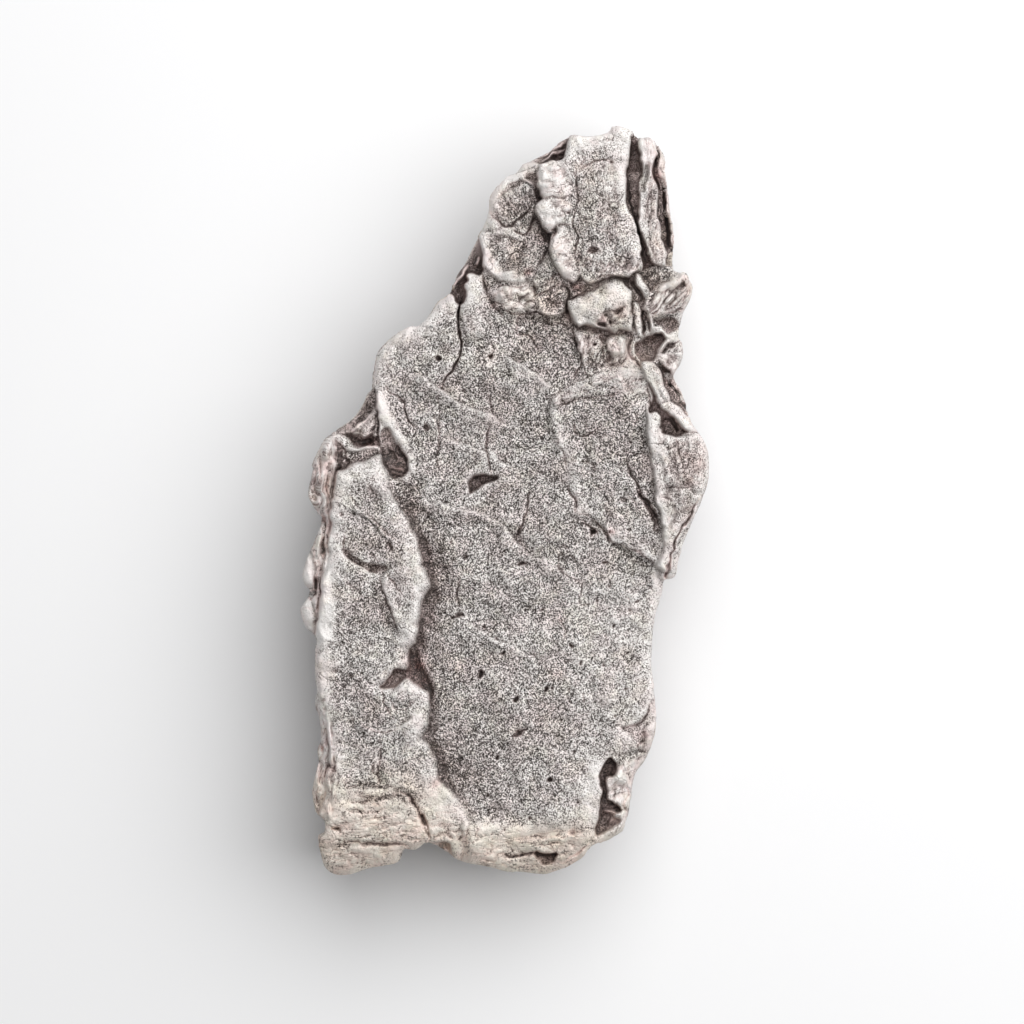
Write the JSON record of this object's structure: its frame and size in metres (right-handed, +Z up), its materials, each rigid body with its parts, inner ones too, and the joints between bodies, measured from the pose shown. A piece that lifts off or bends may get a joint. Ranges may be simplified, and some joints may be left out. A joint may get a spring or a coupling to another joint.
{
  "type": "iron meteorite",
  "caption": "Torn slab of iron meteorite with overlapping plates, pits, split laths along its rim and a worn flat back that it lies on.",
  "frame": {"origin": "middle of the bounding box, on the plane that the slab lies on", "axes": "+Z up, from the worn back to the plated face; +Y along the slab, from its broad end to its narrow end; +X across it, to the right as the face is seen with the narrow end up"},
  "size_m": [0.0328, 0.06, 0.014],
  "materials": {
    "meteoritic_iron": "etched matt metal, bright on its edges and dark brown in its hollows"
  },
  "bodies": {
    "root": {"meteorite": "meteoritic_iron"}
  },
  "joints": []
}
